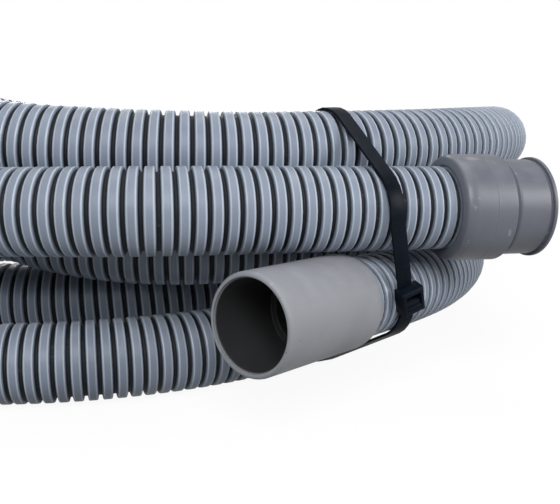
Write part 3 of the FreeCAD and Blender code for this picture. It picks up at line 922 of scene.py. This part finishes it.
class Effects:
    """Builds each shared effect once, as a node group with named inputs and outputs."""

    def __init__(self) -> None:
        """Builds every group."""
        self.groups: dict[Effect, bpy.types.NodeTree] = {}
        for make in (self.grain, self.wear, self.dust, self.scuff, self.spot):
            make()

    def sockets(
        self, effect: Effect, outputs: tuple[str, ...], **inputs: float | Place
    ) -> tuple[Nodes, dict[str, bpy.types.NodeSocket]]:
        """A new group with its named sockets, of which the first input is always a place.

        Args:
            effect: The effect.
            outputs: Each output's name.
            inputs: Each further input's name and default: a number, or three for a vector.

        Returns:
            The group's nodes, and its input sockets by name.
        """
        tree = bpy.data.node_groups.new(effect.value, "ShaderNodeTree")
        inputs = {"Place": (0.0, 0.0, 0.0), **inputs}
        for name, default in inputs.items():
            kind = "NodeSocketVector" if isinstance(default, tuple) else "NodeSocketFloat"
            tree.interface.new_socket(name, in_out="INPUT", socket_type=kind).default_value = default
        for name in outputs:
            tree.interface.new_socket(name, in_out="OUTPUT", socket_type="NodeSocketFloat")
        self.groups[effect] = tree
        start = tree.nodes.new("NodeGroupInput")
        return Nodes(tree), {name: start.outputs[name] for name in inputs}

    def finish(self, nodes: Nodes, **outputs: bpy.types.NodeSocket) -> None:
        """Joins a group's results to its outputs.

        Args:
            nodes: The group's nodes.
            outputs: Each output's name and result.
        """
        end = nodes.tree.nodes.new("NodeGroupOutput")
        for name, socket in outputs.items():
            nodes.feed(socket, end.inputs[name])

    def grain(self) -> None:
        """Fine moulded grain over a slower ripple, as a height, and a slow change of tone."""
        nodes, given = self.sockets(Effect.GRAIN, ("Height", "Tone"), Scale=900.0, Ripple=0.5)
        place, scale = given["Place"], given["Scale"]
        ripple = nodes.times(nodes.noise(place, nodes.times(scale, 0.12)), given["Ripple"])
        tone = nodes.ramp(nodes.noise(place, nodes.times(scale, 0.03), 3.0), 0.3, 0.7)
        self.finish(nodes, Height=nodes.math("ADD", nodes.noise(place, scale, 3.0), ripple), Tone=tone)

    def wear(self) -> None:
        """Where an edge is rubbed: near the edge, and broken up by noise."""
        nodes, given = self.sockets(Effect.WEAR, ("Mask",), Edge=0.0, Amount=0.5, Scale=250.0)
        patches = nodes.noise(given["Place"], given["Scale"], 4.0)
        level = nodes.math("SUBTRACT", 1.0, nodes.times(given["Amount"], 0.7))
        broken = nodes.ramp(patches, nodes.math("SUBTRACT", level, 0.12), nodes.math("ADD", level, 0.12))
        self.finish(nodes, Mask=nodes.times(broken, given["Edge"]))

    def dust(self) -> None:
        """Dust that lies on faces that look up."""
        nodes, given = self.sockets(Effect.DUST, ("Mask",), Amount=0.4, Scale=60.0)
        upward = nodes.add("SeparateXYZ", Vector=nodes.add("NewGeometry").outputs["Normal"]).outputs["Z"]
        lying = nodes.ramp(upward, 0.2, 0.95)
        cloud = nodes.ramp(nodes.noise(given["Place"], given["Scale"], 5.0), 0.35, 0.75)
        self.finish(nodes, Mask=nodes.times(lying, cloud, given["Amount"]))

    def scuff(self) -> None:
        """Short light scratches and small specks."""
        nodes, given = self.sockets(
            Effect.SCUFF, ("Mask", "Specks"), Scale=120.0, Amount=0.3, Speckling=0.3
        )
        place, scale = given["Place"], given["Scale"]
        stretched = nodes.vector("MULTIPLY", place, (0.25, 1.0, 2.6))
        lines = nodes.math("ABSOLUTE", nodes.math("SUBTRACT", nodes.noise(stretched, scale, 3.0), 0.5))
        thin = nodes.ramp(lines, 0.0, 0.012, 1.0, 0.0)
        patches = nodes.ramp(nodes.noise(place, nodes.times(scale, 0.35), 1.0), 0.58, 0.68)
        cells = nodes.add("TexVoronoi", Vector=place, Scale=nodes.times(scale, 1.4)).outputs
        dots = nodes.ramp(cells["Distance"], 0.05, 0.10, 1.0, 0.0)
        some = nodes.ramp(nodes.add("SeparateXYZ", Vector=cells["Color"]).outputs["X"], 0.80, 0.82)
        self.finish(
            nodes,
            Mask=nodes.times(thin, patches, given["Amount"]),
            Specks=nodes.times(dots, some, given["Speckling"]),
        )

    def spot(self) -> None:
        """One soft oval spot at a place, broken up by noise."""
        nodes, given = self.sockets(
            Effect.SPOT, ("Mask",), Centre=(0.0, 0.0, 0.0), Size=(0.01, 0.01, 0.01), Rough=300.0
        )
        place = given["Place"]
        away = nodes.vector("DIVIDE", nodes.vector("SUBTRACT", place, given["Centre"]), given["Size"])
        rough = nodes.times(nodes.noise(place, given["Rough"], 3.0), 0.9)
        ragged = nodes.math("ADD", nodes.length(away), rough)
        self.finish(nodes, Mask=nodes.ramp(ragged, 0.9, 1.4, 1.0, 0.0))


class Coat:
    """A material in the making: colours laid over each other on one Principled shader."""

    def __init__(
        self, name: str, effects: Effects, tones: tuple[Colour, Colour], grain: float, ripple: float,
        specular: float = 0.5, solid: bool = False,
    ) -> None:  # fmt: skip
        """Makes the material, its grain and its slowly changing tone.

        Args:
            name: The material's name.
            effects: The shared effects.
            tones: The two colours that the surface drifts between.
            grain: The grain's scale.
            ripple: How strong the grain's slower ripple is.
            specular: The shader's own specular level.
            solid: Whether the grain lies in the object's own space, not in the place that its points carry.
        """
        self.material = bpy.data.materials.new(name)
        self.material.use_nodes = True
        self.nodes, self.effects = Nodes(self.material.node_tree), effects
        self.shader = self.nodes.find("BSDF_PRINCIPLED")
        self.shader.inputs["Specular IOR Level"].default_value = specular
        self.where = self.nodes.add("TexCoord").outputs["Object"] if solid else self.read("place", "Vector")
        self.grain = self.effect(Effect.GRAIN, Scale=grain, Ripple=ripple)
        self.base = self.nodes.mix(self.grain["Tone"], *tones)

    def read(self, name: str, output: str = "Fac") -> bpy.types.NodeSocket:
        """What the surface's points carry under a name.

        Args:
            name: The attribute's name.
            output: The attribute node's output.

        Returns:
            The output.
        """
        node = self.nodes.add("Attribute")
        node.attribute_name = name
        return node.outputs[output]

    def effect(self, effect: Effect, **inputs: object) -> bpy.types.bpy_prop_collection:
        """Places a shared effect in the material with the material's own values.

        Args:
            effect: The effect.
            inputs: Its inputs by name, without the place.

        Returns:
            The effect's outputs.
        """
        node = self.nodes.add("Group")
        node.node_tree = self.effects.groups[effect]
        for name, value in {"Place": self.where, **inputs}.items():
            self.nodes.feed(value, node.inputs[name])
        return node.outputs

    def lay(self, mask: bpy.types.NodeSocket, tint: Colour, strength: float = 1.0) -> None:
        """Lays a colour over the material where a mask shows it.

        Args:
            mask: Where it lies, 0 to 1.
            tint: The colour.
            strength: How strongly it covers.
        """
        share = mask if strength == 1.0 else self.nodes.times(mask, strength)
        self.base = self.nodes.mix(share, self.base, tint)

    def close(
        self, roughness: float, spread: float, mask: bpy.types.NodeSocket | None, rougher: float, depth: float
    ) -> bpy.types.Material:
        """Joins the colour, the roughness and the grain to the shader.

        Args:
            roughness: The smoothest tone's roughness.
            spread: How much rougher the other tone is.
            mask: Where the surface is rougher still, if anywhere.
            rougher: How much rougher it is there.
            depth: The grain's depth in metres.

        Returns:
            The finished material.
        """
        nodes, into = self.nodes, self.shader.inputs
        rough = nodes.ramp(self.grain["Tone"], 0.0, 1.0, roughness, roughness + spread)
        if mask is not None:
            rough = nodes.math("ADD", rough, nodes.times(mask, rougher))
        bump = nodes.add("Bump", Strength=1.0, Distance=depth, Height=self.grain["Height"])
        for name, socket in (("Base Color", self.base), ("Roughness", rough), ("Normal", bump.outputs["Normal"])):
            nodes.feed(socket, into[name])
        return self.material


def colour(red: float, green: float, blue: float) -> Colour:
    """An opaque colour in linear light."""
    return (red, green, blue, 1.0)


def grey(level: float) -> Colour:
    """An opaque grey in linear light."""
    return colour(level, level, level)


@dataclass(frozen=True)
class Mark:
    """One mark on a moulding: where it is on the piece, its half sizes, its colour and its strength."""

    centre: Place
    size: Place
    tint: Colour
    strength: float


@dataclass(frozen=True)
class HoseFinish:
    """Satin mid grey polyethylene: painted highlights on the rib shoulders, painted shade and dirt in the
    grooves.
    """

    crest: Colour = colour(0.214, 0.250, 0.314)
    soft: Colour = colour(0.176, 0.208, 0.265)
    # Pale blue grey on the ribs' shoulders: a painted highlight.
    shoulder_highlight: Colour = colour(0.52, 0.58, 0.67)
    # Near black in the grooves: painted shade, with some dirt.
    groove: Colour = colour(0.006, 0.008, 0.011)
    dust: Colour = colour(0.45, 0.46, 0.49)
    roughness: float = 0.35

    def material(self, effects: Effects) -> bpy.types.Material:
        """Builds the material.

        Args:
            effects: The shared effects.

        Returns:
            The material.
        """
        coat = Coat("hose_satin", effects, (self.crest, self.soft), 700.0, 0.8, specular=0.3)
        coat.lay(coat.effect(Effect.DUST, Amount=0.25, Scale=70.0)["Mask"], self.dust)
        # A painted highlight along the ribs' shoulders.
        coat.lay(coat.read("edge"), self.shoulder_highlight, 0.75)
        # Darkens the grooves towards near black: painted shade, with some dirt; it also makes them rougher.
        groove_shade_and_dirt = coat.nodes.ramp(coat.read("groove"), 0.16, 0.80)
        coat.lay(groove_shade_and_dirt, self.groove)
        coat.lay(coat.effect(Effect.SCUFF, Amount=0.06, Scale=90.0)["Mask"], self.dust)
        return coat.close(self.roughness, 0.11, groove_shade_and_dirt, 0.25, 0.00004)


@dataclass(frozen=True)
class MouldedFinish:
    """A moulded fitting: base tone, grain, rubbed edges, dust, scratches, single marks, and optional painted
    shade with dirt in its bore.
    """

    name: str
    base: Colour
    shade: Colour
    worn: Colour
    roughness: float
    wear: float = 0.4
    scratches: float = 0.1
    specks: float = 0.4
    speck: Colour = grey(0.01)
    # Radius inside which the bore is darkened, 0 for none: painted shade, with some dirt.
    inside: float = 0.0
    inside_edge: float = 0.0003
    inside_shade_and_dirt: Colour = grey(0.008)
    marks: tuple[Mark, ...] = ()

    def material(self, effects: Effects) -> bpy.types.Material:
        """Builds the material.

        Args:
            effects: The shared effects.

        Returns:
            The material.
        """
        coat = Coat(self.name, effects, (self.base, self.shade), 900.0, 0.4)
        coat.lay(coat.effect(Effect.DUST, Amount=0.2, Scale=90.0)["Mask"], self.worn)
        wear = coat.effect(Effect.WEAR, Edge=coat.read("edge"), Amount=self.wear, Scale=220.0)["Mask"]
        coat.lay(wear, self.worn)
        scuffs = coat.effect(Effect.SCUFF, Scale=110.0, Amount=self.scratches, Speckling=self.specks)
        coat.lay(scuffs["Mask"], self.worn)
        coat.lay(scuffs["Specks"], self.speck)
        # Darkens the bore inside that radius: painted shade, with some dirt.
        if self.inside:
            off_axis = coat.nodes.length(coat.nodes.vector("MULTIPLY", coat.where, (0.0, 1.0, 1.0)))
            low, high = self.inside - self.inside_edge, self.inside + self.inside_edge
            coat.lay(coat.nodes.ramp(off_axis, low, high, 1.0, 0.0), self.inside_shade_and_dirt, 0.92)
        for mark in self.marks:
            spot = coat.effect(Effect.SPOT, Centre=mark.centre, Size=mark.size, Rough=700.0)
            coat.lay(spot["Mask"], mark.tint, mark.strength)
        return coat.close(self.roughness, 0.09, wear, 0.15, 0.00003)


@dataclass(frozen=True)
class TieFinish:
    """Near black nylon with a bluish sheen."""

    base: Colour = colour(0.003, 0.005, 0.009)
    sheen: Colour = colour(0.006, 0.009, 0.015)
    scuffed: Colour = grey(0.30)
    roughness: float = 0.35

    def material(self, effects: Effects) -> bpy.types.Material:
        """Builds the material.

        Args:
            effects: The shared effects.

        Returns:
            The material.
        """
        coat = Coat("tie_nylon", effects, (self.base, self.sheen), 800.0, 0.6, specular=0.06, solid=True)
        coat.lay(coat.effect(Effect.SCUFF, Amount=0.06, Scale=160.0)["Mask"], self.scuffed)
        coat.lay(coat.effect(Effect.DUST, Amount=0.012, Scale=120.0)["Mask"], self.scuffed)
        return coat.close(self.roughness, 0.13, None, 0.0, 0.00002)


@dataclass(frozen=True)
class Lamp:
    """A soft square light: where it stands, where it aims, its size, power and colour."""

    name: str
    place: Place
    aim: Place
    size: float
    power: float
    tint: tuple[float, float, float] = (1.0, 1.0, 1.0)


@dataclass
class Studio:
    """The camera, the lights, the floor and the white surroundings."""

    camera_place: Place = (0.1048, -0.5820, 0.1605)
    pitch: float = 11.5
    focal_pixels: float = 870.0
    picture_width: float = 560.0
    sensor: float = 36.0
    clip: tuple[float, float] = (0.01, 50.0)
    floor_reach: float = 6.0
    floor_seen: float = 0.9
    floor_bounce: float = 0.30
    floor_glow: float = 1.02
    floor_reflected: float = 0.4
    shadow_reach: tuple[float, float] = (0.30, 0.75)
    shadow_glow: float = 0.91
    even_light: float = 0.03
    reflected_light: float = 0.55
    lamps: tuple[Lamp, ...] = (
        Lamp("key_light", (0.10, -1.25, 0.88), (0.02, -0.15, 0.08), 0.60, 15.0),
        Lamp("top_light", (0.10, 0.15, 1.3), (0.02, 0.0, 0.08), 0.9, 5.0),
        Lamp("right_light", (1.35, -0.65, 0.60), (0.05, -0.1, 0.08), 0.6, 12.0),
        Lamp("left_light", (-1.45, -0.75, 0.70), (0.0, -0.1, 0.08), 0.7, 5.0, (0.92, 0.96, 1.0)),
        Lamp("back_light", (-0.25, 1.5, 0.75), (0.0, 0.1, 0.08), 0.8, 9.0),
    )

    def camera(self) -> None:
        """Places the camera where the photograph was taken from."""
        data = bpy.data.cameras.new("camera")
        data.sensor_width = self.sensor
        data.lens = self.focal_pixels / self.picture_width * self.sensor
        data.clip_start, data.clip_end = self.clip
        holder = linked("camera", data)
        holder.location = self.camera_place
        holder.rotation_euler = (math.radians(90.0 - self.pitch), 0.0, 0.0)
        bpy.context.scene.camera = holder

    def lights(self) -> None:
        """Hangs the soft lights."""
        for lamp in self.lamps:
            data = bpy.data.lights.new(lamp.name, "AREA")
            data.size, data.energy, data.color = lamp.size, lamp.power, lamp.tint
            holder = linked(lamp.name, data)
            holder.location = lamp.place
            aim = Vector(lamp.aim) - Vector(lamp.place)
            holder.rotation_euler = aim.to_track_quat("-Z", "Y").to_euler()

    def surroundings(self) -> None:
        """White behind the object and in its reflections, and a dimmer even light on it."""
        world = bpy.data.worlds.new("studio")
        bpy.context.scene.world = world
        world.use_nodes = True
        nodes = Nodes(world.node_tree)
        path = nodes.add("LightPath").outputs
        seen = nodes.math("MAXIMUM", path["Is Camera Ray"], path["Is Transmission Ray"])
        level = nodes.math("ADD", self.even_light, nodes.times(seen, 1.0 - self.even_light))
        shine = nodes.times(path["Is Glossy Ray"], self.reflected_light - self.even_light)
        sky = nodes.find("BACKGROUND")
        sky.inputs["Color"].default_value = grey(1.0)
        nodes.feed(nodes.math("ADD", level, shine), sky.inputs["Strength"])

    def floor(self) -> None:
        """A pale floor that keeps the object's shadow and is nearly white to the camera."""
        sides = ((-1, -1), (1, -1), (1, 1), (-1, 1))
        mesh = bpy.data.meshes.new("floor")
        corners = [(side * self.floor_reach, depth * self.floor_reach, 0.0) for side, depth in sides]
        mesh.from_pydata(corners, [], [(0, 1, 2, 3)])
        material = bpy.data.materials.new("pale_floor")
        material.use_nodes = True
        nodes = Nodes(material.node_tree)
        nodes.tree.nodes.remove(nodes.find("BSDF_PRINCIPLED"))
        path = nodes.add("LightPath").outputs
        seen = path["Is Camera Ray"]
        matt = nodes.add("BsdfDiffuse", Color=nodes.mix(seen, grey(self.floor_bounce), grey(self.floor_seen)))
        glow = nodes.add("Emission", Color=grey(1.0), Strength=self.floor_glow)
        away = nodes.length(nodes.add("NewGeometry").outputs["Position"])
        share = nodes.times(seen, nodes.ramp(away, *self.shadow_reach, self.shadow_glow, 1.0))
        share = nodes.math("ADD", share, nodes.times(path["Is Glossy Ray"], self.floor_reflected))
        both = nodes.add("MixShader", i0=share, i1=matt.outputs[0], i2=glow.outputs[0])
        nodes.feed(both.outputs[0], nodes.find("OUTPUT_MATERIAL").inputs["Surface"])
        mesh.materials.append(material)
        linked("floor", mesh)

    def build(self) -> None:
        """Builds the lights, the surroundings and the floor, and keeps colours plain."""
        self.lights()
        self.surroundings()
        self.floor()
        bpy.context.scene.view_settings.view_transform = "Standard"


CUFF_FINISH = MouldedFinish(
    name="light_cuff_matte",
    base=colour(0.240, 0.249, 0.270),
    shade=colour(0.212, 0.221, 0.242),
    worn=colour(0.40, 0.41, 0.43),
    roughness=0.46,
    scratches=0.08,
    # The cuff's bore is darkened: painted shade, with some dirt.
    inside=0.0206,
)
SOCKET_FINISH = MouldedFinish(
    name="dark_socket_satin",
    base=colour(0.124, 0.132, 0.160),
    shade=colour(0.102, 0.109, 0.135),
    worn=colour(0.30, 0.31, 0.34),
    roughness=0.32,
    wear=0.35,
    scratches=0.14,
    specks=0.6,
    marks=(
        Mark((0.0235, -0.0240, -0.0088), (0.0011, 0.0020, 0.0024), colour(0.30, 0.31, 0.34), 0.5),
        Mark((0.0100, -0.0080, 0.0243), (0.0050, 0.0030, 0.0015), grey(0.30), 0.5),
        Mark((0.0190, 0.0020, 0.0255), (0.0030, 0.0022, 0.0015), grey(0.28), 0.45),
    ),
)
SLEEVE_FINISH = MouldedFinish(
    name="sleeve_plain",
    base=colour(0.50, 0.50, 0.49),
    shade=colour(0.45, 0.45, 0.44),
    worn=colour(0.62, 0.62, 0.60),
    roughness=0.46,
)
SEAL_FINISH = MouldedFinish(
    name="seal_rubber",
    base=grey(0.012),
    shade=grey(0.018),
    worn=grey(0.06),
    roughness=0.58,
)
FINISHES = {
    Slot.HOSE: HoseFinish(),
    Slot.CUFF: CUFF_FINISH,
    Slot.SLEEVE: SLEEVE_FINISH,
    Slot.SOCKET: SOCKET_FINISH,
    Slot.SEAL: SEAL_FINISH,
    Slot.TIE: TieFinish(),
}


def main() -> None:
    """Builds and dresses the whole kit in order, and reports each piece."""
    logging.basicConfig(level=logging.INFO, format="%(name)s: %(message)s")
    studio, route = Studio(), HoseRoute()
    studio.camera()
    line = Line(route.line())
    log.info("hose line %.3f m", line.length)
    hose, cuff, socket = RibbedHose(), PlainCuff(), SwivelSocket()
    ties = [CableTie("front_tie", Body.FRONT_PAWL), CableTie("rear_tie", Body.REAR_PAWL)]
    ribbed = hose.build(line)
    cuff.build(route)
    fittings = socket.build(route)
    for tie in ties:
        tie.build()
    effects = Effects()
    materials = {slot: finish.material(effects) for slot, finish in FINISHES.items()}
    for sub_assembly in (hose, cuff, socket, *ties):
        sub_assembly.dress(materials)
    studio.build()


if __name__ == "__main__":
    main()
